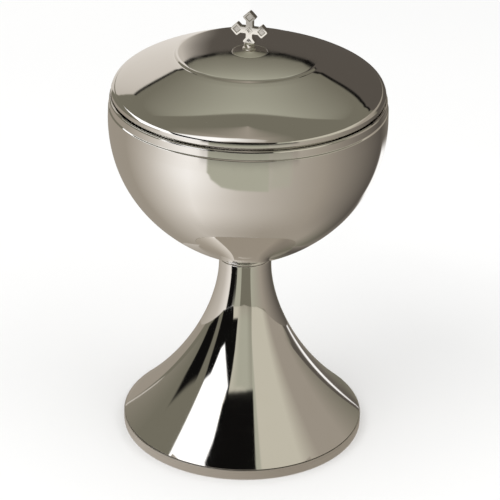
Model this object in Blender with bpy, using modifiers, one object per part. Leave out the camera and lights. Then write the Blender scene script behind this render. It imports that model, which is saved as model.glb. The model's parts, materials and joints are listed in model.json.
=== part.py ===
"""Ciborium vessel: covered cup on a trumpet foot, with a lift-off stepped lid and a cross finial.

Frame: metres, +Z up, origin on the turning axis at the underside of the foot.
Dimensions below are in millimetres and are scaled by MM where a mesh is made.
"""
import math

import bmesh
import bpy
from mathutils import Vector

MM = 0.001
GAP = 0.3                       # running and seating gap between neighbouring pieces

# ---- driving dimensions -----------------------------------------------------------------
SEG_SHELL = 40                  # facets round the large spun shells
SEG_SMALL = 24                  # facets round the small turned pieces

# foot
FOOT_R = 65.2                   # outer radius of the upright band
BAND_H = 5.7                    # height of the band
BAND_W = 2.4                    # radial thickness of the band
FOOT_EDGE = (64.8, 6.0)         # lower edge of the flare
FLARE_ANGLE = 138.0             # direction in which the flare leaves that edge, degrees
FLARE_PULL = 69.8               # how far the flare holds that direction
FLARE_TOP = (14.0, 95.2)        # where the flare passes into the straight neck
STEM_TOP = (14.0, 100.1)        # top edge of the stem
STEM_PULL = 1.4
SHEET = 0.9                     # sheet thickness of foot and lid
SKIRT_R = 62.4                  # turned-down skirt that sits inside the band
SKIRT_Z = 2.2

# joint between stem and cup
COLLAR_R, COLLAR_H, COLLAR_BORE = 14.3, 1.4, 9.6
PLATE_T = 1.6
STUD_R = 3.0                    # M6 stud
STUD_BORE = STUD_R + GAP
STUD_LOW = 86.9
BOSS_R = 9.2
NUT_FLATS, NUT_H = 10.0, 5.2

# cup
CUP_FLAT_R = 13.8
CUP_ROOT = (14.6, 102.8)        # where the bowl leaves its flat bottom
CUP_ROOT_ANGLE = 24.4
CUP_ROOT_PULL = 33.3
CUP_WIDEST = (72.4, 181.0)
CUP_WIDEST_PULL = 40.2
CUP_WALL = 1.0
LIP_STEP_Z = 188.0              # fine step below the rolled lip
LIP_R = 71.6
LIP_BORE = 70.0
LIP_TOP = 192.95

# lid
LID_R = 70.6
LID_LOW = 193.3
DOME_EDGE = (LID_R, 196.2)
DOME_EDGE_ANGLE, DOME_EDGE_PULL = 107.0, 5.0
STEP_LOW = (39.6, 214.7)        # foot of the step ring
DOME_TOP_ANGLE, DOME_TOP_PULL = 159.0, 29.5
STEP_TOP_R, STEP_TOP_Z = 36.6, 215.95
DISC_SEAT_R, DISC_SEAT_Z = 9.25, 215.6  # shallow round seat that the finial stands in
DISC_RIM_R, DISC_RIM_Z = 9.9, 216.7     # rim of that seat
RING_R, RING_T = 69.2, 0.9      # locating ring inside the lid
RING_LOW, RING_HIGH = 187.4, 197.2

# finial
TAIL_R = 1.2                    # threaded tail of the baluster
TAIL_BORE = TAIL_R + GAP
TAIL_LOW = 210.9
FLANGE_R = 8.8
COLUMN_R, COLUMN_TOP = 2.85, 221.3
BEAD_R = 3.6
PEG_R, PEG_TOP = 0.8, 224.2
CROSS_CENTRE_Z = 228.4
CROSS_T = 3.2
CROSS_YAW = -18.0               # the right arm is turned towards the front
ARM_SIDE, ARM_UP = 9.85, 10.2   # centre to tip
BUD = 3.3                       # half diagonal of a bud
NECK = 1.45                     # half width of the bar between the buds
BUD_BLUNT = 0.9                 # how much is taken off each corner of a bud

SILVER = (0.80, 0.78, 0.74, 1.0)
SATIN = (0.72, 0.69, 0.65, 1.0)
STEEL = (0.62, 0.62, 0.62, 1.0)
BRASS = (0.78, 0.62, 0.32, 1.0)


# ---- scene ------------------------------------------------------------------------------
for old in list(bpy.data.objects):
    bpy.data.objects.remove(old, do_unlink=True)

parts = bpy.data.collections.new("ciborium_vessel")
cutters = bpy.data.collections.new("cutters")
bpy.context.scene.collection.children.link(parts)
bpy.context.scene.collection.children.link(cutters)


def material(name, colour, metallic, roughness):
    mat = bpy.data.materials.new(name)
    mat.use_nodes = True
    shader = mat.node_tree.nodes["Principled BSDF"]
    shader.inputs["Base Color"].default_value = colour
    shader.inputs["Metallic"].default_value = metallic
    shader.inputs["Roughness"].default_value = roughness
    mat.diffuse_color = colour
    return mat


def empty(name, z):
    obj = bpy.data.objects.new(name, None)
    obj.empty_display_size = 0.02
    obj.location = (0.0, 0.0, z * MM)
    parts.objects.link(obj)
    return obj


vessel_axis = empty("vessel_axis", 0.0)
lid_axis = empty("lid_lift_axis", LID_LOW)


def place(obj, parent, z):
    """Put obj at height z (mm) on the axis, under its parent empty."""
    obj.parent = parent
    obj.location = Vector((0.0, 0.0, z * MM)) - parent.location
    return obj


# ---- profile helpers --------------------------------------------------------------------
def polar(point, angle, pull):
    a = math.radians(angle)
    return (point[0] + pull * math.cos(a), point[1] + pull * math.sin(a))


def curve_between(p0, p1, p2, p3, steps):
    """Points of a cubic curve from p0 to p3, both ends included."""
    out = []
    for i in range(steps + 1):
        t = i / steps
        k = ((1 - t) ** 3, 3 * t * (1 - t) ** 2, 3 * t * t * (1 - t), t ** 3)
        out.append(tuple(sum(w * p[j] for w, p in zip(k, (p0, p1, p2, p3))) for j in (0, 1)))
    return out


def inner_wall(outer, thickness):
    """Offset a profile to its inside; outer runs down the outer side of the sheet."""
    out = []
    for i, (r, z) in enumerate(outer):
        a = outer[max(i - 1, 0)]
        b = outer[min(i + 1, len(outer) - 1)]
        dr, dz = b[0] - a[0], b[1] - a[1]
        length = math.hypot(dr, dz)
        out.append((r + thickness * dz / length, z - thickness * dr / length))
    return out


def turned(name, profile, mat, parent, seg, closed=True):
    """Revolve a profile given in mm. It runs down its outer side, top to bottom."""
    base = profile[0][1]
    mesh = bpy.data.meshes.new(name)
    verts = [(r * MM, 0.0, (z - base) * MM) for r, z in profile]
    edges = [(i, i + 1) for i in range(len(verts) - 1)]
    if closed:
        edges.append((len(verts) - 1, 0))
    mesh.from_pydata(verts, edges, [])
    mesh.materials.append(mat)
    obj = bpy.data.objects.new(name, mesh)
    parts.objects.link(obj)
    screw = obj.modifiers.new("turn", "SCREW")
    screw.axis = "Z"
    screw.angle = 2 * math.pi
    screw.steps = seg
    screw.render_steps = seg
    screw.use_merge_vertices = True
    screw.merge_threshold = 0.00001
    screw.use_smooth_shade = True
    return place(obj, parent, base)


def cutter(obj):
    for coll in list(obj.users_collection):
        coll.objects.unlink(obj)
    cutters.objects.link(obj)
    obj.hide_render = True
    obj.display_type = "WIRE"
    return obj


def cut(obj, tool):
    mod = obj.modifiers.new("cut", "BOOLEAN")
    mod.operation = "DIFFERENCE"
    mod.solver = "EXACT"
    mod.object = tool
    return mod


def rod_cutter(name, radius, low, high, seg=SEG_SMALL):
    bpy.ops.mesh.primitive_cylinder_add(vertices=seg, radius=radius * MM, depth=(high - low) * MM,
                                        location=(0.0, 0.0, 0.5 * (low + high) * MM))
    obj = bpy.context.object
    obj.name = name
    return cutter(obj)


def hex_nut(name, flats, low, high, bore, mat, parent):
    bpy.ops.mesh.primitive_cylinder_add(vertices=6, radius=flats / math.sqrt(3.0) * MM,
                                        depth=(high - low) * MM)
    obj = bpy.context.object
    obj.name = name
    obj.data.name = name
    for coll in list(obj.users_collection):
        coll.objects.unlink(obj)
    parts.objects.link(obj)
    obj.data.materials.append(mat)
    bevel = obj.modifiers.new("edges", "BEVEL")
    bevel.width = 0.04 * flats * MM
    bevel.segments = 1
    bevel.limit_method = "ANGLE"
    bevel.angle_limit = math.radians(70)
    place(obj, parent, 0.5 * (low + high))
    cut(obj, rod_cutter(name + "_bore_tool", bore, low - 1, high + 1))
    return obj


silver = material("polished_silver", SILVER, 1.0, 0.06)
satin = material("satin_band", SATIN, 1.0, 0.45)
steel = material("fastener_steel", STEEL, 1.0, 0.35)
brass = material("plain_brass", BRASS, 1.0, 0.30)

# ---- foot -------------------------------------------------------------------------------
flare = curve_between(FLARE_TOP, (FLARE_TOP[0] + 0.3, FLARE_TOP[1] - STEM_PULL),
                      polar(FOOT_EDGE, FLARE_ANGLE, FLARE_PULL), FOOT_EDGE, 13)
skirt_in = SKIRT_R - 0.8
foot_inside = [p for p in inner_wall(flare, SHEET) if p[0] < skirt_in - 1.0]
turned("foot_shell",
       [STEM_TOP] + flare + [(SKIRT_R, FOOT_EDGE[1]), (SKIRT_R, SKIRT_Z), (skirt_in, SKIRT_Z),
                             (skirt_in, 7.6)] + foot_inside[::-1] + [(STEM_TOP[0] - SHEET, STEM_TOP[1])],
       silver, vessel_axis, SEG_SHELL)

band_in = FOOT_R - BAND_W
turned("foot_rim_ring",
       [(FOOT_R - 0.25, BAND_H), (FOOT_R, BAND_H - 0.25), (FOOT_R, 0.35), (FOOT_R - 0.35, 0.0),
        (band_in + 0.2, 0.0), (band_in, 0.2), (band_in, BAND_H)],
       satin, vessel_axis, SEG_SHELL)

# ---- joint between stem and cup -----------------------------------------------------------
plate_top = STEM_TOP[1] - 0.4
plate_low = plate_top - PLATE_T
plate_r = STEM_TOP[0] - SHEET - GAP
turned("stem_top_plate",
       [(plate_r, plate_top), (plate_r, plate_low), (STUD_BORE, plate_low), (STUD_BORE, plate_top)],
       brass, vessel_axis, SEG_SHELL)

collar_low = STEM_TOP[1] + GAP
collar_top = collar_low + COLLAR_H
turned("collar_ring",
       [(COLLAR_R - 0.4, collar_top), (COLLAR_R, collar_top - 0.4), (COLLAR_R, collar_low + 0.4),
        (COLLAR_R - 0.4, collar_low), (COLLAR_BORE, collar_low), (COLLAR_BORE, collar_top)],
       silver, vessel_axis, SEG_SHELL)

cup_low = collar_top + GAP
boss_low = plate_top + GAP
turned("cup_boss",
       [(BOSS_R, cup_low - GAP), (BOSS_R, boss_low), (STUD_BORE, boss_low),
        (STUD_BORE, cup_low - GAP)],
       brass, vessel_axis, SEG_SMALL)

turned("tie_stud",
       [(0.0, cup_low - 0.4), (STUD_R - 0.4, cup_low - 0.4), (STUD_R, cup_low - 0.8),
        (STUD_R, STUD_LOW + 0.6), (STUD_R - 0.6, STUD_LOW), (0.0, STUD_LOW)],
       steel, vessel_axis, SEG_SMALL, closed=False)

washer_top = plate_low - GAP
turned("tie_washer",
       [(7.0, washer_top), (7.0, washer_top - 1.2), (STUD_BORE, washer_top - 1.2),
        (STUD_BORE, washer_top)],
       steel, vessel_axis, SEG_SMALL)
lock_top = washer_top - 1.2 - GAP
lock = turned("tie_lock_washer",
              [(5.4, lock_top), (5.4, lock_top - 1.3), (STUD_BORE, lock_top - 1.3),
               (STUD_BORE, lock_top)],
              steel, vessel_axis, SEG_SMALL)
bpy.ops.mesh.primitive_cube_add(size=1.0, location=(4.4 * MM, 0.0, (lock_top - 0.65) * MM),
                                rotation=(math.radians(20), 0.0, 0.0))
slit = bpy.context.object
slit.name = "lock_washer_slit_tool"
slit.scale = (4.0 * MM, 0.7 * MM, 4.0 * MM)
cut(lock, cutter(slit))
nut_top = lock_top - 1.3 - GAP
hex_nut("tie_nut", NUT_FLATS, nut_top - NUT_H, nut_top, STUD_BORE, steel, vessel_axis)

# ---- cup --------------------------------------------------------------------------------
bowl = curve_between(CUP_WIDEST, (CUP_WIDEST[0], CUP_WIDEST[1] - CUP_WIDEST_PULL),
                     polar(CUP_ROOT, CUP_ROOT_ANGLE, CUP_ROOT_PULL), CUP_ROOT, 12)
lip_outside = [(LIP_R - 0.7, LIP_TOP), (LIP_R - 0.15, LIP_TOP - 0.4), (LIP_R, LIP_TOP - 1.1),
               (LIP_R + 0.1, LIP_STEP_Z + 0.2), (LIP_R + 0.5, LIP_STEP_Z - 0.2)]
lip_inside = [(CUP_WIDEST[0] - CUP_WALL - 0.3, LIP_STEP_Z - 1.0), (LIP_BORE + 0.1, LIP_STEP_Z + 0.5),
              (LIP_BORE, LIP_TOP - 1.3), (LIP_BORE + 0.25, LIP_TOP - 0.4)]
turned("cup_shell",
       [(0.0, cup_low + 1.1), (CUP_FLAT_R - 0.6, cup_low + 1.1)]
       + inner_wall(bowl, CUP_WALL)[::-1] + lip_inside + lip_outside + bowl
       + [(CUP_FLAT_R, cup_low), (0.0, cup_low)],
       silver, vessel_axis, SEG_SHELL, closed=False)

# ---- lid --------------------------------------------------------------------------------
dome = curve_between(STEP_LOW, polar(STEP_LOW, DOME_TOP_ANGLE + 180, DOME_TOP_PULL),
                     polar(DOME_EDGE, DOME_EDGE_ANGLE, DOME_EDGE_PULL), DOME_EDGE, 11)
seat = [(TAIL_BORE, DISC_SEAT_Z), (DISC_SEAT_R, DISC_SEAT_Z), (DISC_SEAT_R + 0.2, DISC_RIM_Z - 0.2)]
disc = curve_between((DISC_RIM_R, DISC_RIM_Z), (DISC_RIM_R + 10.1, DISC_RIM_Z - 0.07),
                     (STEP_TOP_R - 7.6, STEP_TOP_Z + 0.43), (STEP_TOP_R, STEP_TOP_Z), 6)
step = [(STEP_TOP_R + 1.1, STEP_TOP_Z - 0.25), (STEP_TOP_R + 1.7, STEP_TOP_Z - 0.75),
        (STEP_LOW[0] - 0.6, STEP_LOW[1] + 0.12)]
lid_wall = LID_R - 1.1
top_side = seat + disc + step + dome
under_dome = [p for p in inner_wall(dome, SHEET) if p[0] < lid_wall - 0.6]
under_step = [(STEP_TOP_R + 1.0, STEP_TOP_Z - 2.0), (STEP_TOP_R + 0.1, STEP_TOP_Z - 1.05)]
under_disc = [p for p in inner_wall(disc, SHEET) if DISC_RIM_R + 1.2 < p[0] < STEP_TOP_R - 1.0]
under_seat = [(DISC_RIM_R + 0.9, DISC_RIM_Z - SHEET - 0.02), (DISC_RIM_R + 0.4, DISC_SEAT_Z - SHEET + 0.1),
              (DISC_SEAT_R + 0.5, DISC_SEAT_Z - SHEET), (TAIL_BORE, DISC_SEAT_Z - SHEET)]
turned("lid_shell",
       top_side + [(LID_R, LID_LOW + 1.0), (LID_R - 0.3, LID_LOW + 0.25), (LID_R - 0.7, LID_LOW),
                   (lid_wall, LID_LOW + 0.2), (lid_wall, RING_HIGH + 0.4)]
       + under_dome[::-1] + under_step + under_disc[::-1] + under_seat,
       silver, lid_axis, SEG_SHELL)

turned("lid_locating_ring",
       [(RING_R, RING_HIGH), (RING_R, RING_LOW + 0.8), (RING_R - 0.4, RING_LOW),
        (RING_R - RING_T, RING_LOW), (RING_R - RING_T, RING_HIGH)],
       silver, lid_axis, SEG_SHELL)

# ---- finial -------------------------------------------------------------------------------
flange_low = DISC_SEAT_Z + GAP
turned("finial_base",
       [(TAIL_BORE + 0.4, flange_low + 1.4), (2.8, flange_low + 1.3), (5.0, flange_low + 1.12),
        (FLANGE_R - 0.1, flange_low + 0.78), (FLANGE_R, flange_low + 0.68), (FLANGE_R, flange_low + 0.1),
        (FLANGE_R - 0.1, flange_low), (TAIL_BORE, flange_low), (TAIL_BORE, flange_low + 1.4)],
       silver, lid_axis, SEG_SMALL)

waist = flange_low + 1.7
turned("finial_neck",
       [(0.0, PEG_TOP), (PEG_R, PEG_TOP), (PEG_R, COLUMN_TOP), (COLUMN_R - 0.25, COLUMN_TOP),
        (COLUMN_R, COLUMN_TOP - 0.25), (COLUMN_R, 219.5), (COLUMN_R - 0.35, 219.35),
        (COLUMN_R - 0.35, 219.15), (BEAD_R - 0.3, 219.0), (BEAD_R, 218.5), (BEAD_R - 0.2, 217.8),
        (2.7, 217.75), (2.0, 217.65), (TAIL_R, waist), (TAIL_R, TAIL_LOW + 0.3),
        (TAIL_R - 0.3, TAIL_LOW), (0.0, TAIL_LOW)],
       silver, lid_axis, SEG_SMALL, closed=False)

finial_washer_top = DISC_SEAT_Z - SHEET - GAP
turned("finial_washer",
       [(3.3, finial_washer_top), (3.3, finial_washer_top - 0.8),
        (TAIL_BORE, finial_washer_top - 0.8), (TAIL_BORE, finial_washer_top)],
       steel, lid_axis, SEG_SMALL)
finial_nut_top = finial_washer_top - 0.8 - GAP
hex_nut("finial_nut", 5.5, finial_nut_top - 1.8, finial_nut_top, TAIL_BORE, steel, lid_axis)


def arm_outline(length, tip_cut):
    """Half outlines of one arm, out to the tip and back, as (along, across) pairs."""
    mid = length - BUD + 0.35
    side = BUD - BUD_BLUNT
    up = [(NECK + 0.2, NECK), (mid - BUD + NECK, NECK), (mid - BUD_BLUNT * 0.6, side + 0.25),
          (mid, side + 0.55), (mid + BUD_BLUNT * 0.6, side + 0.25)]
    if tip_cut:
        end = [(length - 0.45, BUD_BLUNT * 0.85), (length, 0.0)]
    else:
        end = []
    return up, end


def cross_outline():
    """Closed outline of the cross about its centre, anticlockwise, x across and z up."""
    points = []
    for turn, length in ((0, ARM_SIDE), (90, ARM_UP), (180, ARM_SIDE)):
        up, end = arm_outline(length, True)
        ring = [(u, -v) for u, v in up] + [(u, -v) for u, v in end[:-1]] + [end[-1]]
        ring += [(u, v) for u, v in end[:-1]][::-1] + [(u, v) for u, v in up][::-1]
        a = math.radians(turn)
        points += [(u * math.cos(a) - v * math.sin(a), u * math.sin(a) + v * math.cos(a))
                   for u, v in ring]
    # the lower bud is cut off level where it stands on the column
    base = COLUMN_TOP + GAP - CROSS_CENTRE_Z
    low = [(-NECK, -NECK - 0.2), (-NECK, -3.9), (-BUD + 0.45, -5.7), (-BUD + 0.45, -6.1),
           (-BUD + 1.1, base)]
    points += low + [(-x, z) for x, z in low][::-1]
    return points


curve = bpy.data.curves.new("finial_cross", "CURVE")
curve.dimensions = "2D"
curve.fill_mode = "BOTH"
curve.extrude = (0.5 * CROSS_T - 0.3) * MM
curve.bevel_depth = 0.3 * MM
curve.bevel_resolution = 0
curve.offset = -0.3 * MM
outline = cross_outline()
spline = curve.splines.new("POLY")
spline.points.add(len(outline) - 1)
for point, (x, z) in zip(spline.points, outline):
    point.co = (x * MM, z * MM, 0.0, 1.0)
spline.use_cyclic_u = True
flat = bpy.data.objects.new("finial_cross_outline", curve)
parts.objects.link(flat)
flat.rotation_euler = (math.radians(90), 0.0, math.radians(CROSS_YAW))
bpy.context.view_layer.update()
graph = bpy.context.evaluated_depsgraph_get()
cross_mesh = bpy.data.meshes.new_from_object(flat.evaluated_get(graph))
cross_mesh.name = "finial_cross"
work = bmesh.new()
work.from_mesh(cross_mesh)
bmesh.ops.remove_doubles(work, verts=work.verts, dist=0.000005)
work.to_mesh(cross_mesh)
work.free()
cross_mesh.materials.clear()
cross_mesh.materials.append(silver)
cross = bpy.data.objects.new("finial_cross", cross_mesh)
parts.objects.link(cross)
cross.rotation_euler = flat.rotation_euler
bpy.data.objects.remove(flat, do_unlink=True)
place(cross, lid_axis, CROSS_CENTRE_Z)
cut(cross, rod_cutter("cross_socket_tool", PEG_R + GAP, COLUMN_TOP - 2.0, PEG_TOP + 0.4, 16))

# ---- shading ------------------------------------------------------------------------------
for obj in parts.objects:
    if obj.type == "MESH":
        obj.data.shade_smooth()
        if obj.data.polygons:
            obj.data.set_sharp_from_angle(angle=math.radians(35))
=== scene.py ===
"""Looks for the ciborium vessel: mirror-polished spun shells, a satin foot band and a cross finial.

Lengths are written in millimetres and scaled by MM. The studio is a tent of glowing cards that only
reflections can see, because a mirror surface shows nothing but its surroundings.
"""
import json
import math

import bmesh
import bpy
import numpy as np
from mathutils import Matrix, Vector

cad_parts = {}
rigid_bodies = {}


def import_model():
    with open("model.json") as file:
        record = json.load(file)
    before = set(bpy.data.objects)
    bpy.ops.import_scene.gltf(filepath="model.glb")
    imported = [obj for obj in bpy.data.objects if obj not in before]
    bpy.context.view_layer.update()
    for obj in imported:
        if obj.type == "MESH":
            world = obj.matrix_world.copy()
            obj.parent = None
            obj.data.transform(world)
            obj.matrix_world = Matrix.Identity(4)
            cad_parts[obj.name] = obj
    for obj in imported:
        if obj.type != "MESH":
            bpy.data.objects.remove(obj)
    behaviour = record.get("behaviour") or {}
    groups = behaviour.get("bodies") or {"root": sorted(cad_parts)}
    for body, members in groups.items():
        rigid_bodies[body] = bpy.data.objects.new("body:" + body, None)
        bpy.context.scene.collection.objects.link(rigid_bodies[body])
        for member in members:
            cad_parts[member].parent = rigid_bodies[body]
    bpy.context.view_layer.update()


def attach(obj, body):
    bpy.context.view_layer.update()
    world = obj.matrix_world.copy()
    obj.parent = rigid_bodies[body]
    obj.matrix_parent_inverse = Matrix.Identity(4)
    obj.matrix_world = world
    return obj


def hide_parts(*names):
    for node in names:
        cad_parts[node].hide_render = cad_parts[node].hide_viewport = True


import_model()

MM = 0.001

SEG = 256                       # facets round the large shells
SEG_FINE = 96                   # facets round the small turned pieces

SILVER = (0.955, 0.940, 0.915)  # reflectance of the polished metal
GILT = (0.93, 0.74, 0.43)


# ---- profile tools ------------------------------------------------------------------------
def polar(point, angle, pull):
    a = math.radians(angle)
    return (point[0] + pull * math.cos(a), point[1] + pull * math.sin(a))


def cubic(p0, p1, p2, p3, steps):
    out = []
    for i in range(steps + 1):
        t = i / steps
        k = ((1 - t) ** 3, 3 * t * (1 - t) ** 2, 3 * t * t * (1 - t), t ** 3)
        out.append(tuple(sum(w * p[j] for w, p in zip(k, (p0, p1, p2, p3))) for j in (0, 1)))
    return out


def offset_inside(outer, thickness):
    """Offset a profile to its inside; outer runs down the outer side of the sheet."""
    out = []
    for i, (r, z) in enumerate(outer):
        a = outer[max(i - 1, 0)]
        b = outer[min(i + 1, len(outer) - 1)]
        dr, dz = b[0] - a[0], b[1] - a[1]
        length = math.hypot(dr, dz)
        out.append((r + thickness * dz / length, z - thickness * dr / length))
    return out


def rounded(points, closed, steps=5):
    """Replace corners written as (r, z, radius) by arcs. Plain (r, z) points are kept."""
    n = len(points)
    out = []
    for i, p in enumerate(points):
        radius = p[2] if len(p) > 2 else 0.0
        if radius <= 0 or (not closed and i in (0, n - 1)):
            out.append((p[0], p[1]))
            continue
        here = Vector(p[:2])
        a = Vector(points[(i - 1) % n][:2]) - here
        b = Vector(points[(i + 1) % n][:2]) - here
        la, lb = a.length, b.length
        a.normalize()
        b.normalize()
        half = 0.5 * a.angle(b)
        if half > math.radians(88):
            out.append((p[0], p[1]))
            continue
        back = min(radius / math.tan(half), 0.48 * la, 0.48 * lb)
        r = back * math.tan(half)
        centre = here + (a + b).normalized() * (r / math.sin(half))
        start, end = here + a * back - centre, here + b * back - centre
        turn = start.angle_signed(end)
        for k in range(steps + 1):
            q = start.copy()
            q.rotate(Matrix.Rotation(-turn * k / steps, 2))
            out.append(tuple(centre + q))
    return out


def tidy(points, closed, least=0.012):
    out = [points[0]]
    for p in points[1:]:
        if math.hypot(p[0] - out[-1][0], p[1] - out[-1][1]) > least:
            out.append(p)
    if closed and math.hypot(out[0][0] - out[-1][0], out[0][1] - out[-1][1]) <= least:
        out.pop()
    return out


def lathe(name, profile, mats, seg=SEG, closed=True, smooth=28.0, pick=None):
    """Revolve a profile about Z into a clean quad mesh with exact surface normals.

    The profile runs down its outer side. An open profile starts and ends on the axis.
    pick(r, z) may give a material index for the face whose middle is there.
    """
    pts = tidy(profile, closed)
    n = len(pts)
    last = n if closed else n - 1
    seg_normal, seg_length = [], []
    for i in range(last):
        a, b = pts[i], pts[(i + 1) % n]
        dr, dz = b[0] - a[0], b[1] - a[1]
        length = math.hypot(dr, dz)
        seg_normal.append((-dz / length, dr / length))
        seg_length.append(length)
    limit = math.cos(math.radians(smooth))

    def corner_normal(i, s):
        """Profile normal at point i for segment s, blended over soft joints only."""
        other = None
        if i == s:
            if closed or s > 0:
                other = (s - 1) % last
        elif closed or s < last - 1:
            other = (s + 1) % last
        a = seg_normal[s]
        if other is None:
            return a if pts[i][0] > 1e-6 else (0.0, math.copysign(1.0, a[1]))
        b = seg_normal[other]
        if a[0] * b[0] + a[1] * b[1] < limit:
            return a
        wa, wb = seg_length[s], seg_length[other]
        v = (a[0] * wa + b[0] * wb, a[1] * wa + b[1] * wb)
        length = math.hypot(*v)
        return (v[0] / length, v[1] / length)

    verts, rows = [], []
    for r, z in pts:
        if r < 1e-6:
            rows.append([len(verts)] * seg)
            verts.append((0.0, 0.0, z * MM))
        else:
            base = len(verts)
            for k in range(seg):
                t = 2 * math.pi * k / seg
                verts.append((r * math.cos(t) * MM, r * math.sin(t) * MM, z * MM))
            rows.append([base + k for k in range(seg)])
    faces, loops, index = [], [], []
    for s in range(last):
        i, j = s, (s + 1) % n
        ni, nj = corner_normal(i, s), corner_normal(j, s)
        which = pick(0.5 * (pts[i][0] + pts[j][0]), 0.5 * (pts[i][1] + pts[j][1])) if pick else 0
        for k in range(seg):
            m = (k + 1) % seg
            quad = [(rows[i][k], ni, k), (rows[j][k], nj, k), (rows[j][m], nj, m), (rows[i][m], ni, m)]
            if rows[i][0] == rows[i][1]:
                quad = quad[:3]
                quad[0] = (quad[0][0], ni, k)
            elif rows[j][0] == rows[j][1]:
                quad = [quad[0], quad[1], quad[3]]
            faces.append([q[0] for q in quad])
            index.append(which)
            for _, nn, kk in quad:
                t = 2 * math.pi * kk / seg
                loops.append((nn[0] * math.cos(t), nn[0] * math.sin(t), nn[1]))
    mesh = bpy.data.meshes.new(name)
    mesh.from_pydata(verts, [], faces)
    for mat in mats:
        mesh.materials.append(mat)
    mesh.polygons.foreach_set("material_index", index)
    mesh.polygons.foreach_set("use_smooth", [True] * len(faces))
    mesh.update()
    # outward facing is where the winding agrees with the profile normal
    first = mesh.polygons[0]
    if first.normal.dot(Vector(loops[0])) < 0:
        mesh.flip_normals()
        flipped = []
        at = 0
        for f in faces:
            part = loops[at:at + len(f)]
            flipped += [part[0]] + part[1:][::-1]
            at += len(f)
        loops = flipped
    mesh.normals_split_custom_set(loops)
    obj = bpy.data.objects.new(name, mesh)
    bpy.context.scene.collection.objects.link(obj)
    return obj


# ---- material tools -------------------------------------------------------------------------
def new_material(name):
    mat = bpy.data.materials.new(name)
    mat.use_nodes = True
    tree = mat.node_tree
    return mat, tree, tree.nodes["Principled BSDF"]


def node(tree, kind, **values):
    item = tree.nodes.new(kind)
    for key, value in values.items():
        setattr(item, key, value)
    return item


def noise(tree, vector, scale, detail=3.0, rough=0.5):
    item = node(tree, "ShaderNodeTexNoise")
    item.inputs["Scale"].default_value = scale
    item.inputs["Detail"].default_value = detail
    item.inputs["Roughness"].default_value = rough
    tree.links.new(vector, item.inputs["Vector"])
    return item.outputs["Fac"]


def ramp(tree, value, low, high, to_low, to_high):
    item = node(tree, "ShaderNodeMapRange")
    item.inputs["From Min"].default_value = low
    item.inputs["From Max"].default_value = high
    item.inputs["To Min"].default_value = to_low
    item.inputs["To Max"].default_value = to_high
    tree.links.new(value, item.inputs["Value"])
    return item.outputs["Result"]


def maths(tree, op, a, b):
    item = node(tree, "ShaderNodeMath", operation=op)
    for socket, value in zip(item.inputs, (a, b)):
        if hasattr(value, "is_output"):
            tree.links.new(value, socket)
        else:
            socket.default_value = value
    return item.outputs[0]


def turned_coordinates(tree):
    """Object space, and the same space unrolled so that marks run round the axis."""
    where = node(tree, "ShaderNodeTexCoord").outputs["Object"]
    split = node(tree, "ShaderNodeSeparateXYZ")
    tree.links.new(where, split.inputs[0])
    x, y, z = split.outputs
    radius = maths(tree, "SQRT", maths(tree, "ADD", maths(tree, "MULTIPLY", x, x),
                                       maths(tree, "MULTIPLY", y, y)), 0.0)
    angle = maths(tree, "ARCTAN2", y, x)
    rolled = node(tree, "ShaderNodeCombineXYZ")
    tree.links.new(radius, rolled.inputs[0])
    tree.links.new(maths(tree, "MULTIPLY", maths(tree, "SINE", angle, 0.0), 0.004), rolled.inputs[1])
    tree.links.new(z, rolled.inputs[2])
    return where, rolled.outputs[0]


def polished(name, colour, rough, haze, tint, wave=0.02):
    """Mirror polish: soft polishing haze, faint turning bands and a slow waviness of the sheet."""
    mat, tree, shader = new_material(name)
    where, rolled = turned_coordinates(tree)
    slow = noise(tree, where, 22.0, 2.0)
    smears = noise(tree, where, 95.0, 5.0, 0.62)
    bands = noise(tree, rolled, 420.0, 2.0)
    shader.inputs["Metallic"].default_value = 1.0
    mix = node(tree, "ShaderNodeMix", data_type="RGBA")
    mix.inputs["A"].default_value = (*colour, 1.0)
    mix.inputs["B"].default_value = (*tint, 1.0)
    tree.links.new(ramp(tree, smears, 0.45, 0.80, 0.0, 0.35), mix.inputs["Factor"])
    tree.links.new(mix.outputs["Result"], shader.inputs["Base Color"])
    level = maths(tree, "ADD", ramp(tree, smears, 0.35, 0.75, rough, rough + haze),
                  ramp(tree, bands, 0.3, 0.7, 0.0, 0.35 * haze))
    tree.links.new(level, shader.inputs["Roughness"])
    bump = node(tree, "ShaderNodeBump")
    bump.inputs["Strength"].default_value = wave
    bump.inputs["Distance"].default_value = 0.0008
    tree.links.new(maths(tree, "ADD", slow, maths(tree, "MULTIPLY", bands, 0.012)), bump.inputs["Height"])
    tree.links.new(bump.outputs["Normal"], shader.inputs["Normal"])
    return mat


def brushed(name, colour, rough, grain, scale, round_axis=True):
    """Satin or machined metal with a grain that runs round the axis."""
    mat, tree, shader = new_material(name)
    where, rolled = turned_coordinates(tree)
    lines = noise(tree, rolled if round_axis else where, scale, 4.0, 0.7)
    patch = noise(tree, where, 60.0, 3.0)
    shader.inputs["Metallic"].default_value = 1.0
    mix = node(tree, "ShaderNodeMix", data_type="RGBA")
    mix.inputs["A"].default_value = (*[c * 0.90 for c in colour], 1.0)
    mix.inputs["B"].default_value = (*colour, 1.0)
    tree.links.new(ramp(tree, lines, 0.3, 0.7, 0.0, 1.0), mix.inputs["Factor"])
    tree.links.new(mix.outputs["Result"], shader.inputs["Base Color"])
    tree.links.new(maths(tree, "ADD", ramp(tree, lines, 0.3, 0.7, rough - 0.05, rough + 0.05),
                         ramp(tree, patch, 0.3, 0.7, -0.04, 0.04)), shader.inputs["Roughness"])
    bump = node(tree, "ShaderNodeBump")
    bump.inputs["Strength"].default_value = grain
    bump.inputs["Distance"].default_value = 0.0002
    tree.links.new(lines, bump.inputs["Height"])
    tree.links.new(bump.outputs["Normal"], shader.inputs["Normal"])
    return mat


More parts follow.
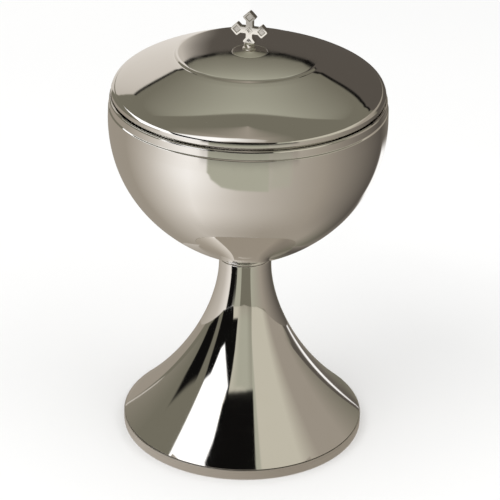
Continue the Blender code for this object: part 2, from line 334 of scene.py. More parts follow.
silver = polished("polished_silver", SILVER, 0.030, 0.035, (0.93, 0.905, 0.865))
silver_fine = polished("polished_silver_finial", (0.84, 0.815, 0.765), 0.06, 0.06, (0.78, 0.74, 0.67), 0.05)
silver_cast = polished("cast_silver_ground", (0.80, 0.775, 0.73), 0.20, 0.12, (0.70, 0.665, 0.61), 0.25)
gilt = polished("gilt_interior", GILT, 0.10, 0.06, (0.90, 0.69, 0.38))
satin = brushed("satin_band", (0.86, 0.835, 0.80), 0.40, 0.10, 900.0)
steel = brushed("fastener_steel", (0.62, 0.61, 0.59), 0.30, 0.15, 1400.0)
brass = brushed("plain_brass", (0.80, 0.62, 0.33), 0.28, 0.12, 1100.0)


# ---- foot ---------------------------------------------------------------------------------
FLARE_TOP = (14.0, 95.2)
FOOT_EDGE = (64.8, 6.0)
flare = cubic(FLARE_TOP, (14.3, 93.8), polar(FOOT_EDGE, 138.0, 69.8), FOOT_EDGE, 84)
flare_in = [p for p in offset_inside(flare, 0.9) if p[0] < 60.6]
foot = lathe("foot_skin", rounded(
    [(13.1, 100.1, 0.15), (14.0, 100.1, 0.35)] + flare[:-1]
    + [(64.8, 6.0, 0.12), (62.4, 6.0, 0.2), (62.4, 2.2, 0.2), (61.6, 2.2, 0.2), (61.6, 7.6, 0.3)]
    + flare_in[::-1][1:-1], True), [silver])

band = lathe("satin_foot_band", rounded(
    [(65.2, 5.7, 0.35), (65.2, 0.0, 0.45), (62.8, 0.0, 0.25), (62.8, 5.7, 0.25)], True), [satin])

# ---- joint between stem and cup -------------------------------------------------------------
collar = lathe("stem_collar", rounded(
    [(14.3, 101.8, 0.55), (14.3, 100.4, 0.55), (9.6, 100.4, 0.2), (9.6, 101.8, 0.2)], True), [silver], seg=160)

# ---- cup ------------------------------------------------------------------------------------
CUP_ROOT = (14.6, 102.8)
bowl = cubic((72.4, 181.0), (72.4, 140.8), polar(CUP_ROOT, 24.4, 33.3), CUP_ROOT, 84)
bowl_in = offset_inside(bowl, 1.0)


def cup_finish(r, z):
    inside = (z > 102.9 and r < 13.4) or (z > 103.1 and z < 186.9 and r < wall_at(z) - 0.5)
    return 1 if inside else 0


def wall_at(z):
    """Outer radius of the bowl at height z."""
    if z >= 181.0:
        return 72.4
    for (r1, z1), (r2, z2) in zip(bowl, bowl[1:]):
        if z1 >= z >= z2:
            return r2 + (r1 - r2) * (z - z2) / max(z1 - z2, 1e-6)
    return 14.0


cup = lathe("cup_bowl", rounded(
    [(0.0, 103.2), (13.2, 103.2, 2.0)] + bowl_in[::-1][2:]
    + [(71.3, 187.0, 0.8), (70.1, 188.5, 0.8), (70.0, 191.65), (70.25, 192.55, 0.5), (70.9, 192.95, 0.3),
       (71.45, 192.55, 0.4), (71.6, 191.85, 0.4), (71.68, 188.3, 0.35), (72.2, 187.75, 0.4)]
    + bowl[:-1] + [(14.6, 102.8, 0.5), (13.8, 102.1, 0.4), (0.0, 102.1)], False), [silver, gilt],
    closed=False, pick=cup_finish)

# ---- lid ------------------------------------------------------------------------------------
STEP_LOW = (39.6, 214.7)
DOME_EDGE = (70.6, 196.2)
dome = cubic(STEP_LOW, polar(STEP_LOW, 339.0, 29.5), polar(DOME_EDGE, 107.0, 5.0), DOME_EDGE, 72)
disc = cubic((9.5, 216.7), (20.0, 216.63), (29.0, 216.38), (36.6, 215.95), 48)
disc_in = [p for p in offset_inside(disc, 0.9) if 11.1 < p[0] < 35.6]
dome_in = [p for p in offset_inside(dome, 0.9) if p[0] < 68.9 and p[0] > 38.6]
lid = lathe("lid_dome", rounded(
    [(1.5, 215.6, 0.12), (9.2, 215.6, 0.12), (9.25, 216.7, 0.1)] + disc
    + [(37.55, 215.78, 0.5), (38.3, 214.98, 0.5), (38.9, 214.86, 0.2)] + dome[1:]
    + [(70.6, 194.3, 0.8), (70.3, 193.45, 0.5), (69.85, 193.3, 0.2), (69.5, 193.5, 0.2), (69.5, 197.6, 0.4)]
    + dome_in[::-1] + [(37.5, 213.95, 0.4), (36.7, 214.9, 0.5)] + disc_in[::-1]
    + [(10.8, 215.58, 0.3), (10.3, 214.75, 0.3), (1.5, 214.7, 0.12)],
    True), [silver])

ring = lathe("lid_plug_ring", rounded(
    [(69.2, 197.2, 0.1), (69.2, 187.6, 0.35), (68.7, 187.4, 0.3), (68.3, 187.5, 0.2), (68.3, 197.2, 0.1)],
    True), [silver])

# ---- finial turnings --------------------------------------------------------------------------
saucer = lathe("finial_saucer", rounded(
    [(1.75, 217.05, 0.08)] + cubic((1.95, 217.05), (2.9, 216.96), (6.0, 216.84), (8.95, 216.70), 12)
    + [(9.1, 216.66, 0.05), (9.1, 215.9, 0.1), (1.5, 215.9, 0.1), (1.5, 217.05, 0.08)],
    True), [silver_fine], seg=SEG_FINE)


def thread(radius, depth, pitch, low, high, seg, per_turn):
    """Rows of a cut thread from high to low as lists of (radius, z) per direction."""
    rows = []
    count = int(round((high - low) / pitch * per_turn))
    for i in range(count + 1):
        z = high - (high - low) * i / count
        ends = min(1.0, (high - z) / pitch, (z - low) / pitch)
        row = []
        for k in range(seg):
            phase = (z / pitch - k / seg) % 1.0
            tooth = abs(2.0 * phase - 1.0)
            tooth = min(1.0, max(0.0, (tooth - 0.06) / 0.82))
            row.append((radius - depth * (1.0 - tooth) * max(0.0, ends), z))
        rows.append(row)
    return rows


def shaft(name, upper, rows, lower, mat, seg):
    """A turned piece with a threaded stretch: upper profile, thread rows, lower profile."""
    mesh = bpy.data.meshes.new(name)
    bm = bmesh.new()
    rings = [[(r, z)] * seg for r, z in upper] + rows + [[(r, z)] * seg for r, z in lower]
    made = []
    for row in rings:
        if row[0][0] < 1e-6:
            made.append([bm.verts.new((0.0, 0.0, row[0][1] * MM))])
        else:
            made.append([bm.verts.new((r * math.cos(2 * math.pi * k / seg) * MM,
                                       r * math.sin(2 * math.pi * k / seg) * MM, z * MM))
                         for k, (r, z) in enumerate(row)])
    for a, b in zip(made, made[1:]):
        for k in range(seg):
            m = (k + 1) % seg
            ring_a = [a[0]] if len(a) == 1 else [a[k], a[m]]
            ring_b = [b[0]] if len(b) == 1 else [b[m], b[k]]
            bm.faces.new(ring_a + ring_b)
    bmesh.ops.recalc_face_normals(bm, faces=bm.faces)
    bm.to_mesh(mesh)
    bm.free()
    mesh.materials.append(mat)
    mesh.shade_smooth()
    mesh.set_sharp_from_angle(angle=math.radians(33))
    obj = bpy.data.objects.new(name, mesh)
    bpy.context.scene.collection.objects.link(obj)
    return obj


neck_top = rounded(
    [(0.0, 224.2), (0.8, 224.2, 0.15), (0.8, 221.3, 0.05), (2.85, 221.3, 0.3), (2.85, 219.5, 0.08),
     (2.5, 219.35, 0.05), (2.5, 219.15, 0.05)]
    + cubic((3.25, 219.0), (3.75, 218.85), (3.75, 217.95), (3.2, 217.6), 12)
    + [(2.5, 217.45, 0.3), (1.65, 217.25, 0.15), (1.6, 217.15, 0.05), (1.2, 217.15, 0.05)], False)
neck = shaft("finial_baluster", neck_top, thread(1.2, 0.16, 0.45, 211.2, 215.7, 48, 8),
             [(1.18, 211.2), (0.9, 210.9), (0.0, 210.9)], silver_fine, 48)

# ---- fasteners --------------------------------------------------------------------------------
stud = shaft("threaded_tie_stud", [(0.0, 101.7), (2.6, 101.7), (3.0, 101.3)],
             thread(3.0, 0.42, 1.0, 87.5, 101.1, 64, 10),
             [(2.95, 87.45), (2.4, 86.9), (0.0, 86.9)], steel, 64)


def nut(name, flats, low, high, bore, mat, seg=96):
    """Hexagon nut: six flats cut by a turned chamfer at both ends, with a countersunk bore."""
    half = 0.5 * flats
    corner = half / math.cos(math.radians(30))
    mesh = bpy.data.meshes.new(name)
    bm = bmesh.new()
    drop = (corner - 0.94 * half) * math.tan(math.radians(30))

    def ring_at(fn):
        return [bm.verts.new(fn(2 * math.pi * k / seg)) for k in range(seg)]

    def hexagon(t):
        local = (t + math.pi / 6) % (math.pi / 3) - math.pi / 6
        return half / math.cos(local)

    def side(t, end, sign):
        r = hexagon(t)
        fall = max(0.0, (r - 0.94 * half) * math.tan(math.radians(30)))
        return (r * math.cos(t) * MM, r * math.sin(t) * MM, (end - sign * min(fall, drop)) * MM)

    def flat_circle(r, z):
        return lambda t: (r * math.cos(t) * MM, r * math.sin(t) * MM, z * MM)

    rings = [ring_at(flat_circle(bore, low + 0.4)), ring_at(flat_circle(bore, high - 0.4)),
             ring_at(flat_circle(bore + 0.4, high)), ring_at(flat_circle(0.94 * half, high)),
             ring_at(lambda t: side(t, high, 1)), ring_at(lambda t: side(t, low, -1)),
             ring_at(flat_circle(0.94 * half, low)), ring_at(flat_circle(bore + 0.4, low))]
    for a, b in zip(rings, rings[1:] + rings[:1]):
        for k in range(seg):
            m = (k + 1) % seg
            bm.faces.new([a[k], a[m], b[m], b[k]])
    bmesh.ops.recalc_face_normals(bm, faces=bm.faces)
    bm.to_mesh(mesh)
    bm.free()
    mesh.materials.append(mat)
    mesh.shade_smooth()
    mesh.set_sharp_from_angle(angle=math.radians(22))
    obj = bpy.data.objects.new(name, mesh)
    bpy.context.scene.collection.objects.link(obj)
    return obj


tie_nut = nut("tie_hex_nut", 10.0, 89.5, 94.7, 3.3, steel)
lid_nut = nut("finial_hex_nut", 5.5, 211.5, 213.3, 1.5, steel)
tie_washer = lathe("tie_flat_washer", rounded(
    [(7.0, 97.8, 0.25), (7.0, 96.6, 0.25), (3.3, 96.6, 0.1), (3.3, 97.8, 0.1)], True), [steel], seg=SEG_FINE)
lid_washer = lathe("finial_flat_washer", rounded(
    [(3.3, 214.4, 0.15), (3.3, 213.6, 0.15), (1.5, 213.6, 0.08), (1.5, 214.4, 0.08)], True), [steel],
    seg=SEG_FINE)
plate = lathe("stem_closing_plate", rounded(
    [(12.8, 99.7, 0.25), (12.8, 98.1, 0.25), (3.3, 98.1, 0.15), (3.3, 99.7, 0.15)], True), [brass], seg=128)
boss = lathe("cup_seat_boss", rounded(
    [(9.2, 101.8, 0.25), (9.2, 100.0, 0.25), (3.3, 100.0, 0.15), (3.3, 101.8, 0.15)], True), [brass], seg=128)


# ---- cross ------------------------------------------------------------------------------------
ARM_SIDE, ARM_UP, BUD, NECK, BLUNT = 9.85, 10.2, 3.65, 1.75, 0.8
CROSS_Z, CROSS_T, CROSS_YAW, CROSS_FOOT = 228.4, 3.2, -18.0, 221.6


def arm(length):
    """One arm from the crossing to its tip, as (along, across) on the positive side."""
    mid = length - BUD + 0.35
    side = BUD - BLUNT
    return [(NECK + 0.25, NECK), (mid - BUD + NECK, NECK), (mid - BLUNT * 0.6, side + 0.25),
            (mid, side + 0.55), (mid + BLUNT * 0.6, side + 0.25), (length - 0.45, BLUNT * 0.85)], (length, 0.0)


def soften(outline, radii, steps=4):
    """Round the corners of a closed outline."""
    pts = [(*p, r) for p, r in zip(outline, radii)]
    return rounded(pts, True, steps)


def cross_outline():
    points, radii = [], []
    for turn, length in ((0, ARM_SIDE), (90, ARM_UP), (180, ARM_SIDE)):
        up, tip = arm(length)
        a = math.radians(turn)
        run = [(u, -v) for u, v in up] + [tip] + [(u, v) for u, v in up][::-1]
        rad = [0.4, 0.4, 0.6, 0.4, 0.6, 0.6, 0.5, 0.6, 0.6, 0.4, 0.6, 0.4, 0.4]
        points += [(u * math.cos(a) - v * math.sin(a), u * math.sin(a) + v * math.cos(a)) for u, v in run]
        radii += rad
    base = CROSS_FOOT - CROSS_Z
    low = [(-NECK, -NECK - 0.25), (-NECK, -3.9), (-BUD + 0.45, -5.7), (-BUD + 0.45, -6.1),
           (-BUD + 1.1, base)]
    points += low + [(-x, z) for x, z in low][::-1]
    radii += [0.5, 0.4, 0.4, 0.3, 0.15] + [0.15, 0.3, 0.4, 0.4, 0.5]
    return soften(points, radii)


def cross_mesh():
    """The cross as a closed block with a small chamfer round both faces."""
    outline = cross_outline()
    half = 0.5 * CROSS_T
    mesh = bpy.data.meshes.new("cross_body")
    bm = bmesh.new()
    front = [bm.verts.new((x * MM, -half * MM, z * MM)) for x, z in outline]
    back = [bm.verts.new((x * MM, half * MM, z * MM)) for x, z in outline]
    n = len(outline)
    caps = [bm.faces.new(front), bm.faces.new(back[::-1])]
    for i in range(n):
        j = (i + 1) % n
        bm.faces.new([front[j], front[i], back[i], back[j]])
    bmesh.ops.recalc_face_normals(bm, faces=bm.faces)
    bmesh.ops.inset_region(bm, faces=caps, thickness=0.16 * MM, depth=0.0, use_even_offset=False,
                           use_boundary=True)
    for v in {v for f in bm.faces if abs(f.normal.y) < 0.5 for v in f.verts}:
        v.co.y -= math.copysign(0.2 * MM, v.co.y)
    bm.to_mesh(mesh)
    bm.free()
    obj = bpy.data.objects.new("cross_body", mesh)
    bpy.context.scene.collection.objects.link(obj)
    return obj


def lozenge(name, x, z, rings):
    """A closed four-sided block about (x, z); rings are (y, half diagonal) from front to back."""
    mesh = bpy.data.meshes.new(name)
    bm = bmesh.new()
    made = [[bm.verts.new(((x + r * math.cos(a)) * MM, y * MM, (z + r * math.sin(a)) * MM))
             for a in (0, math.pi / 2, math.pi, 1.5 * math.pi)] for y, r in rings]
    for a, b in zip(made, made[1:]):
        for k in range(4):
            m = (k + 1) % 4
            bm.faces.new([a[k], a[m], b[m], b[k]])
    bm.faces.new(made[0][::-1])
    bm.faces.new(made[-1])
    bmesh.ops.recalc_face_normals(bm, faces=bm.faces)
    bm.to_mesh(mesh)
    bm.free()
    obj = bpy.data.objects.new(name, mesh)
    bpy.context.scene.collection.objects.link(obj)
    return obj


def union(obj, tool, kind="UNION"):
    mod = obj.modifiers.new("join", "BOOLEAN")
    mod.operation = kind
    mod.solver = "MANIFOLD"
    mod.object = tool
    graph = bpy.context.evaluated_depsgraph_get()
    mesh = bpy.data.meshes.new_from_object(obj.evaluated_get(graph))
    obj.modifiers.clear()
    old = obj.data
    obj.data = mesh
    bpy.data.meshes.remove(old)
    bpy.data.objects.remove(tool, do_unlink=True)


cross = cross_mesh()
half = 0.5 * CROSS_T
union(cross, lozenge("crossing", 0.0, 0.0, [(-half - 0.22, 1.75), (-half + 0.1, 2.1), (half - 0.1, 2.1),
                                            (half + 0.22, 1.75)]))
POCKET = 0.36
for x, z, reach in ((6.55, 0.0, 2.2), (-6.55, 0.0, 2.2), (0.0, 6.9, 2.2), (0.0, -5.35, 1.3), (0.0, 0.0, 1.1)):
    top = half + (0.22 if reach == 1.1 else 0.0)
    for sign in (-1, 1):
        union(cross, lozenge("pocket", x, z, [(sign * (top + 0.6), reach + 0.35), (sign * top, reach),
                                              (sign * (half - POCKET), reach - 0.42)]), "DIFFERENCE")
cross.name = "cross_of_four_buds"
cross.data.name = "cross_of_four_buds"
turn = Matrix.Translation((0.0, 0.0, CROSS_Z * MM)) @ Matrix.Rotation(math.radians(CROSS_YAW), 4, "Z")
cross.data.transform(turn)
bpy.ops.mesh.primitive_cylinder_add(vertices=32, radius=1.1 * MM, depth=6.0 * MM,
                                    location=(0.0, 0.0, 221.6 * MM))
hole = bpy.context.object
union(cross, hole, "DIFFERENCE")
cross.data.materials.clear()
cross.data.materials.append(silver_fine)
cross.data.materials.append(silver_cast)
for poly in cross.data.polygons:
    poly.material_index = 0
    away = turn.inverted() @ poly.center
    if abs(abs(away.y) - (half - POCKET) * MM) < 0.02 * MM and abs(away.z) < 12 * MM:
        poly.material_index = 1
cross.data.shade_smooth()
cross.data.set_sharp_from_angle(angle=math.radians(24))

for piece in (cross, neck):
    piece.visible_glossy = False     # the polished lid shows no image of the finial

# ---- ride, replace, slots ---------------------------------------------------------------------
for piece, body, name, slot in (
        (foot, "vessel", "foot_shell", "polished_silver"),
        (band, "vessel", "foot_rim_ring", "satin_band"),
        (collar, "vessel", "collar_ring", "polished_silver"),
        (cup, "vessel", "cup_shell", "polished_silver"),
        (plate, "vessel", "stem_top_plate", "plain_brass"),
        (boss, "vessel", "cup_boss", "plain_brass"),
        (stud, "vessel", "tie_stud", "fastener_steel"),
        (tie_washer, "vessel", "tie_washer", "fastener_steel"),
        (tie_nut, "vessel", "tie_nut", "fastener_steel"),
        (lid, "lid", "lid_shell", "polished_silver"),
        (ring, "lid", "lid_locating_ring", "polished_silver"),
        (saucer, "lid", "finial_base", "polished_silver"),
        (neck, "lid", "finial_neck", "polished_silver"),
        (cross, "lid", "finial_cross", "polished_silver"),
        (lid_washer, "lid", "finial_washer", "fastener_steel"),
        (lid_nut, "lid", "finial_nut", "fastener_steel")):
    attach(piece, body)
    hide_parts(name)

for obj in bpy.data.objects:
    if obj.type == "MESH" and obj.name.startswith("tie_lock_washer"):
        for slot_item in obj.material_slots:
            slot_item.material = steel


# ---- studio: glowing cards that only reflections see --------------------------------------------
def linear(rgb):
    c = np.asarray(rgb, float) / 255.0
    c = np.where(c <= 0.04045, c / 12.92, ((c + 0.055) / 1.055) ** 2.4)
    return c / np.asarray(SILVER)


def inside(x, y, poly, soft):
    """0 outside and 1 inside a polygon, with an edge that is soft over the given width."""
    odd = np.zeros(x.shape, bool)
    dist = np.full(x.shape, 1e9)
    n = len(poly)
    for i in range(n):
        (x1, y1), (x2, y2) = poly[i], poly[(i + 1) % n]
        if y1 != y2:
            cross_at = (x2 - x1) * (y - y1) / (y2 - y1) + x1
            odd ^= ((y1 > y) != (y2 > y)) & (x < cross_at)
        ex, ey = x2 - x1, y2 - y1
        t = np.clip(((x - x1) * ex + (y - y1) * ey) / (ex * ex + ey * ey), 0, 1)
        dist = np.minimum(dist, np.hypot(x - x1 - t * ex, y - y1 - t * ey))
    t = np.clip(0.5 + np.where(odd, dist, -dist) / (2.0 * soft), 0, 1)
    return t * t * (3 - 2 * t)


def stroke(x, y, line, width, soft):
    """A soft line through the given points."""
    dist = np.full(x.shape, 1e9)
    for (x1, y1), (x2, y2) in zip(line, line[1:]):
        ex, ey = x2 - x1, y2 - y1
        t = np.clip(((x - x1) * ex + (y - y1) * ey) / (ex * ex + ey * ey), 0, 1)
        dist = np.minimum(dist, np.hypot(x - x1 - t * ex, y - y1 - t * ey))
    t = np.clip(0.5 + (0.5 * width - dist) / (2.0 * soft), 0, 1)
    return t * t * (3 - 2 * t)


def over(base, mask, rgb):
    rgb = np.asarray(rgb, float)
    return base + (rgb - base) * mask[..., None]


def along(value, stops):
    """Colours read off a list of (position, rgb) stops."""
    at = [s[0] for s in stops]
    return np.stack([np.interp(value, at, [s[1][i] for s in stops]) for i in range(3)], -1)


def fade(value, a, b):
    t = np.clip((value - a) / (b - a), 0, 1)
    return t * t * (3 - 2 * t)


# the ten plain tones that every card of the studio is painted with
WHITE, PALE, STONE = (255, 252, 248), (224, 217, 208), (186, 178, 167)
SAND, SAGE, TAUPE = (190, 184, 167), (166, 164, 147), (152, 143, 130)
DRAB, UMBER, INK = (112, 108, 94), (84, 78, 71), (14, 13, 12)
LAMP = (275, 273, 270)


def room(az, el):
    """The studio as the lid sees it: walls, backdrop sheet, window and overhead."""
    c = along(az, [(-180, PALE), (-150, TAUPE), (-125, DRAB), (-70, DRAB), (-30, TAUPE), (10, TAUPE),
                   (40, DRAB), (180, DRAB)])
    # overhead, browner than the walls
    top = along(az, [(-70, DRAB), (0, TAUPE), (40, DRAB)])
    up = fade(el, 34, 52)
    c = c + (top - c) * up[..., None]
    # backdrop sheet hanging behind and drawn overhead, with a straight front edge
    a, e = np.radians(az), np.radians(el)
    depth = -np.cos(a) * np.cos(e) - 0.25 * np.sin(e)
    sheet = fade(depth, 0.0, 0.03) * fade(el, -60, -59)
    glow = along(el, [(38, DRAB), (76, SAGE)])
    c = c + (glow - c) * sheet[..., None]
    # light wall on the left behind, dark wall on the right behind
    left = inside(az, el, [(-220, -60), (-146, -60), (-150, -15), (-140, -4), (-135, 8), (-136, 18),
                           (-140, 30), (-152, 33), (-160, 36), (-220, 38)], 1.2)
    wall = along(az, [(-180, PALE), (-136, STONE)])
    c = c + (wall - c) * left[..., None]
    right = inside(az, el, [(220, -60), (124, -60), (126, -12), (121, 6), (119, 16), (128, 27),
                            (138, 31), (150, 33), (160, 36), (220, 38)], 1.2)
    c = over(c, right, UMBER)
    c = over(c, stroke(az, el, [(-140, 31), (-152, 34), (-160, 36.5), (-180, 38)], 1.6, 0.7), INK)
    c = over(c, stroke(az, el, [(119, 14), (128, 28), (138, 32), (150, 33.5), (160, 37), (180, 38)],
                       2.2, 0.7), INK)
    # light floor in front on the right, grey-green further round
    c = over(c, inside(az, el, [(28, -3), (78, -14), (82, -70), (20, -70)], 4.0), SAGE)
    c = over(c, inside(az, el, [(84, 4), (120, 2), (124, -24), (82, -24)], 5.0), TAUPE)
    # window: white, rising from the left to above the camera
    white = inside(az, el, [(-74, -60), (-72, -6), (-63, 9), (-46, 20), (-30, 29), (-8, 36), (6, 34),
                            (16, 26), (14, 17), (-12, 17), (-28, 10), (-35, -2), (-38, -60)], 2.6)
    c = over(c, white * (1 - 0.75 * fade(az, -26, 22)), WHITE)
    # dark gap round the camera
    gap = inside(az, el, [(-36, -30), (-34, -2), (-26, 9), (-10, 14), (6, 14.5), (22, 12), (33, 4),
                          (38, -8), (40, -30)], 2.0)
    c = over(c, gap, INK)
    return c


def back_wall(turn, el):
    """The middle of the back wall, which fills the flat top of the lid; turn is degrees past 180."""
    rim = [(0, 22), (2, 22.4), (4, 23.6), (5.2, 25.2), (12, 34), (20, 37)]
    rise = el - np.interp(np.abs(turn), [p[0] for p in rim], [p[1] for p in rim])
    low = along(turn + 0.4 * fade(el, 21, 17), [(2.4, UMBER), (4.9, STONE), (12, PALE)])
    high = along(rise, [(0, DRAB), (7.5, SAGE)])
    c = low + (high - low) * fade(rise, -0.12, 0.12)[..., None]
    right = [(-x, y) for x, y in rim]
    c = over(c, stroke(turn, el, rim, 0.55, 0.12), INK)
    c = over(c, stroke(turn, el, right, 0.8, 0.12), INK)
    mix = (1 - fade(np.abs(turn), 7, 12)) * (1 - fade(el, 36, 42))
    return c, mix[..., None]


def canopy(az, e):
    """The studio as the foot sees it over the table: flags, panel and window."""
    c = along(az, [(-180, TAUPE), (-110, DRAB), (-70, DRAB), (-45, SAND), (-12, SAND), (10, SAGE),
                   (20, SAGE), (21.5, SAND), (60, SAND), (80, TAUPE), (110, TAUPE), (150, DRAB)])
    # grey-green panel round the camera, with a brown shade low down
    edge = 26.0 - 0.235 * e
    panel = fade(az, -46, -20) * (1 - fade(az - edge, -0.8, 0.4)) * (1 - fade(e, 39.3, 40.3))
    shade = along(e, [(-5, TAUPE), (13, SAGE)])
    c = c + (shade - c) * (panel * fade(az, -26, -6))[..., None]
    c = over(c, panel * fade(az, 6, 19) * 0.30, DRAB)
    # flags on the left
    c = over(c, inside(az, e, [(-106, -8), (-105, 14), (-101, 21), (-92, 22), (-82, 24), (-81, 14),
                               (-82, -8)], 1.6), INK)
    c = over(c, inside(az, e, [(-70, -8), (-70, 22), (-68, 30), (-56, 30), (-46, 30), (-24, 42),
                               (-21, 34), (-19.5, 27), (-19, 11), (-33, 10.5), (-41, -8)], 1.0), INK)
    # window
    c = over(c, inside(az, e, [(-78, 90), (-76, 46), (-73, 38), (-68, 28.5), (-60, 29), (-53, 22.5),
                               (-46, 21.5), (-38, 28), (-28, 36), (-24.5, 38.5), (-30, 42), (-33, 48),
                               (-39, 50), (-40, 90)], 0.7), LAMP)
    # overhead flag above the camera
    c = over(c, inside(az, e, [(-40, 90), (-39, 50), (-33, 47.5), (-29, 42), (-24, 40.2), (-8, 41),
                               (4, 41), (17.2, 40), (15, 53), (13, 90)], 0.5), INK)
    return c


def table(az, q):
    """The table as the bowl sees it; q grows with the logarithm of the distance."""
    c = along(az, [(-180, TAUPE), (-110, TAUPE), (-45, PALE), (0, STONE), (60, TAUPE), (130, UMBER),
                   (180, TAUPE)])
    # nearer the vessel the table is painted in its own tones, darker in front: painted shade of the vessel on
    # the table round its foot
    near = along(az, [(-130, TAUPE), (-60, STONE), (20, TAUPE), (90, TAUPE), (130, DRAB), (180, TAUPE)])
    c = near + (c - near) * fade(q, 6, 34)[..., None]
    # a soft white glow painted on the table card, to the left of the front: painted light on the table
    bright = np.exp(-((az + 46) / 26.0) ** 2 - ((q - 58) / 18.0) ** 2)
    c = over(c, 0.55 * bright, WHITE)
    c = over(c, inside(az, q, [(17, 49), (33, 50), (34, 80), (17, 80)], 3.0) * 0.6, SAGE)
    c = over(c, inside(az, q, [(-30, 90), (-30, 62), (-27, 55), (-19, 49.5), (-8, 48), (16.5, 47),
                               (16.5, 90)], 0.9), SAGE)
    # a white patch behind on the right, painted onto the table card to give the small painted highlight on the
    # bowl's right edge
    c = over(c, inside(az, q, [(138, 40), (162, 40), (162, 56), (138, 56)], 3.0), WHITE)
    return c


def glow_material(name, one_sided):
    mat = bpy.data.materials.new(name)
    mat.use_nodes = True
    tree = mat.node_tree
    tree.nodes.clear()
    attr = node(tree, "ShaderNodeAttribute", attribute_name="glow")
    emit = node(tree, "ShaderNodeEmission")
    out = node(tree, "ShaderNodeOutputMaterial")
    tree.links.new(attr.outputs["Color"], emit.inputs["Color"])
    result = emit.outputs[0]
    if one_sided:
        geo = node(tree, "ShaderNodeNewGeometry")
        clear = node(tree, "ShaderNodeBsdfTransparent")
        mix = node(tree, "ShaderNodeMixShader")
        tree.links.new(geo.outputs["Backfacing"], mix.inputs[0])
        tree.links.new(emit.outputs[0], mix.inputs[1])
        tree.links.new(clear.outputs[0], mix.inputs[2])
        result = mix.outputs[0]
    tree.links.new(result, out.inputs["Surface"])
    mat.cycles.emission_sampling = "NONE"
    return mat


def card(name, place, nu, nv, colours, mat, flip=False):
    """A grid of nu by nv cells; place and colours are arrays of (nv+1, nu+1, 3)."""
    verts = place.reshape(-1, 3) * MM
    a = np.arange(nu)[None, :] + np.arange(nv)[:, None] * (nu + 1)
    quads = np.stack([a, a + 1, a + nu + 2, a + nu + 1], -1).reshape(-1, 4)
    if flip:
        quads = quads[:, ::-1]
    mesh = bpy.data.meshes.new(name)
    mesh.vertices.add(len(verts))
    mesh.vertices.foreach_set("co", verts.astype(np.float32).ravel())
    mesh.loops.add(quads.size)
    mesh.loops.foreach_set("vertex_index", quads.astype(np.int32).ravel())
    mesh.polygons.add(len(quads))
    mesh.polygons.foreach_set("loop_start", np.arange(0, quads.size, 4, dtype=np.int32))
    mesh.update(calc_edges=True)
    mesh.validate()
    layer = mesh.attributes.new("glow", "FLOAT_COLOR", "POINT")
    rgba = np.ones((len(verts), 4), np.float32)
    rgba[:, :3] = linear(colours.reshape(-1, 3))
    layer.data.foreach_set("color", rgba.ravel())
    mesh.materials.append(mat)
    obj = bpy.data.objects.new(name, mesh)
    bpy.context.scene.collection.objects.link(obj)
    for ray in ("camera", "diffuse", "shadow", "volume_scatter", "transmission"):
        setattr(obj, "visible_" + ray, False)
    return obj


def direction(az):
    a = np.radians(az)
    return np.sin(a), -np.cos(a)


glow = glow_material("studio_glow", False)
glow_one_sided = glow_material("studio_glow_one_sided", True)

# far room
AZ, EL = np.meshgrid(np.linspace(-180, 180, 541), np.linspace(-4, 90, 142))
sx, sy = direction(AZ)
FAR = 3400.0
pos = np.stack([FAR * np.cos(np.radians(EL)) * sx, FAR * np.cos(np.radians(EL)) * sy,
                200.0 + FAR * np.sin(np.radians(EL))], -1)
card("studio_room", pos, 540, 141, room(AZ, EL), glow)

# finer middle of the back wall, just in front of the room
TURN, EL = np.meshgrid(np.linspace(-14, 14, 281), np.linspace(0, 46, 461))
sx, sy = direction(TURN + 180.0)
pos = np.stack([0.97 * FAR * np.cos(np.radians(EL)) * sx, 0.97 * FAR * np.cos(np.radians(EL)) * sy,
                200.0 + 0.97 * FAR * np.sin(np.radians(EL))], -1)
fine, mix = back_wall(TURN, EL)
around = room((TURN + 360.0) % 360.0 - 180.0, EL)
card("studio_back_wall", pos, 280, 460, fine * mix + around * (1 - mix), glow)


def closed(c):
    """Colours of a full round with its two ends brought together behind the object."""
    seam = (c[:, :1] + c[:, -1:]) / 2
    near = fade(np.abs(np.linspace(-180, 180, c.shape[1])), 158, 180)[None, :, None]
    return c + (seam - c) * near


# canopy over the table, seen from below only
SLOPE = 200.0 / 3065.0
AZ, E = np.meshgrid(np.linspace(-180, 180, 541), np.linspace(0.2, 76, 153))
TE = np.tan(np.radians(E))
DIST = (160.0 + 85.0 * SLOPE + 45.0 * TE) / (TE + SLOPE)
sx, sy = direction(AZ)
pos = np.stack([DIST * sx, DIST * sy, 200.0 - SLOPE * (DIST - 85.0)], -1)
card("studio_canopy", pos, 540, 152, closed(canopy(AZ, E)), glow_one_sided, flip=True)

# table
AZ, Q = np.meshgrid(np.linspace(-180, 180, 541), np.linspace(2.6, 121, 160))
DIST = 60.0 * np.exp(Q / 30.0)
sx, sy = direction(AZ)
far_el = -np.degrees(np.arctan2(205.0, np.maximum(DIST - 60.0, 1.0)))
mix = fade(Q, 65, 72)[..., None]
pos = np.stack([DIST * sx, DIST * sy, np.full_like(DIST, 0.2)], -1)
card("studio_table", pos, 540, 159, closed(table(AZ, Q)) * (1 - mix) + room(AZ, far_el) * mix, glow)

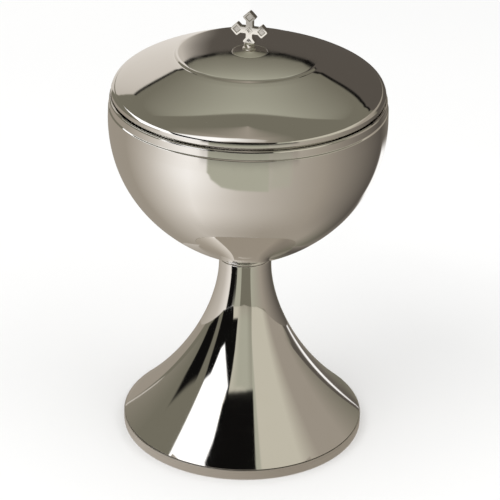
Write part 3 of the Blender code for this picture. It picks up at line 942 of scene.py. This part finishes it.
# ring round the neck: the low surroundings that the upright neck shows, seen from inside only
AZ, V = np.meshgrid(np.linspace(-150, 150, 601), np.linspace(0, 1, 7))
LOW = np.interp(AZ, [-150, -110, -78, -57, -36, 0, 36, 57, 78, 110, 150],
                [45, 55, 67, 74, 77.3, 79, 77.3, 74.5, 67, 55, 45])
sx, sy = direction(AZ)
around = along(AZ, [(-150, TAUPE), (-80, STONE), (-56, PALE), (-30, SAGE), (-13, SAGE), (-11, DRAB),
                    (19, DRAB), (20.5, SAGE), (58, TAUPE), (121, UMBER), (150, DRAB)])
around = over(around, inside(AZ, V, [(-51.5, -1), (-50, 2), (-27, 2), (-28, 0.36), (-35.5, 0.05), (-36.5, -1)], 0.5), INK)
card("studio_neck_ring", np.stack([40.0 * sx, 40.0 * sy, LOW + (91.0 - LOW) * V], -1), 600, 6, around,
     glow_one_sided, flip=True)

# broad slats low in front of the foot; their tilt lets the bowl's steeper view pass between them
for k in range(6):
    AZ, V = np.meshgrid(np.linspace(-52, 52, 105), np.array([0.0, 1.0]))
    sx, sy = direction(AZ)
    pos = np.stack([(92.0 + 16.0 * V) * sx, (92.0 + 16.0 * V) * sy, 44.2 - 6.0 * k - 14.4 * V], -1)
    tone = along(AZ, [(0, TAUPE)])
    card("studio_slat_%d" % k, pos, 104, 1, tone, glow_one_sided)


# floor and light
mesh = bpy.data.meshes.new("floor")
bm = bmesh.new()
bmesh.ops.create_grid(bm, x_segments=4, y_segments=4, size=7.0)
bm.to_mesh(mesh)
bm.free()
floor = bpy.data.objects.new("floor", mesh)
floor.location = (0.0, 0.0, -0.00004)
bpy.context.scene.collection.objects.link(floor)
mat, tree, shader = new_material("pale_floor")
shader.inputs["Base Color"].default_value = (0.90, 0.90, 0.895, 1.0)
shader.inputs["Roughness"].default_value = 0.9
mesh.materials.append(mat)
floor.visible_glossy = False

world = bpy.data.worlds.new("studio")
bpy.context.scene.world = world
world.use_nodes = True
world.node_tree.nodes["Background"].inputs["Color"].default_value = (1.0, 1.0, 1.0, 1.0)
world.node_tree.nodes["Background"].inputs["Strength"].default_value = 0.93


def softbox(name, location, target, size, power):
    data = bpy.data.lights.new(name, "AREA")
    data.shape = "SQUARE"
    data.size = size
    data.energy = power
    obj = bpy.data.objects.new(name, data)
    obj.location = location
    obj.rotation_mode = "QUATERNION"
    obj.rotation_quaternion = (Vector(target) - Vector(location)).to_track_quat("-Z", "Y")
    obj.visible_glossy = False
    bpy.context.scene.collection.objects.link(obj)
    return obj


softbox("key_softbox", (-0.9, -0.7, 1.5), (0.0, 0.0, 0.05), 1.2, 9.0)
softbox("fill_softbox", (1.1, -0.5, 1.4), (0.0, 0.0, 0.05), 1.4, 5.0)

# ---- camera -----------------------------------------------------------------------------------
AWAY, HEIGHT, PITCH, YAW, ROLL = 1.01213, 0.61707, 0.4697, 0.0024, 0.0216
forward = Vector((math.sin(YAW) * math.cos(PITCH), math.cos(YAW) * math.cos(PITCH), -math.sin(PITCH)))
right = Vector((math.cos(YAW), -math.sin(YAW), 0.0))
up = right.cross(forward)
right_rolled = math.cos(ROLL) * right + math.sin(ROLL) * up
up_rolled = -math.sin(ROLL) * right + math.cos(ROLL) * up
camera_data = bpy.data.cameras.new("camera")
camera_data.sensor_width = 36.0
camera_data.lens = 153.34
camera = bpy.data.objects.new("camera", camera_data)
camera.matrix_world = Matrix.Translation((0.0, -AWAY, HEIGHT)) @ Matrix(
    (right_rolled, up_rolled, -forward)).transposed().to_4x4()
bpy.context.scene.collection.objects.link(camera)
bpy.context.scene.camera = camera
bpy.context.scene.view_settings.view_transform = "Standard"
bpy.context.scene.view_settings.look = "None"
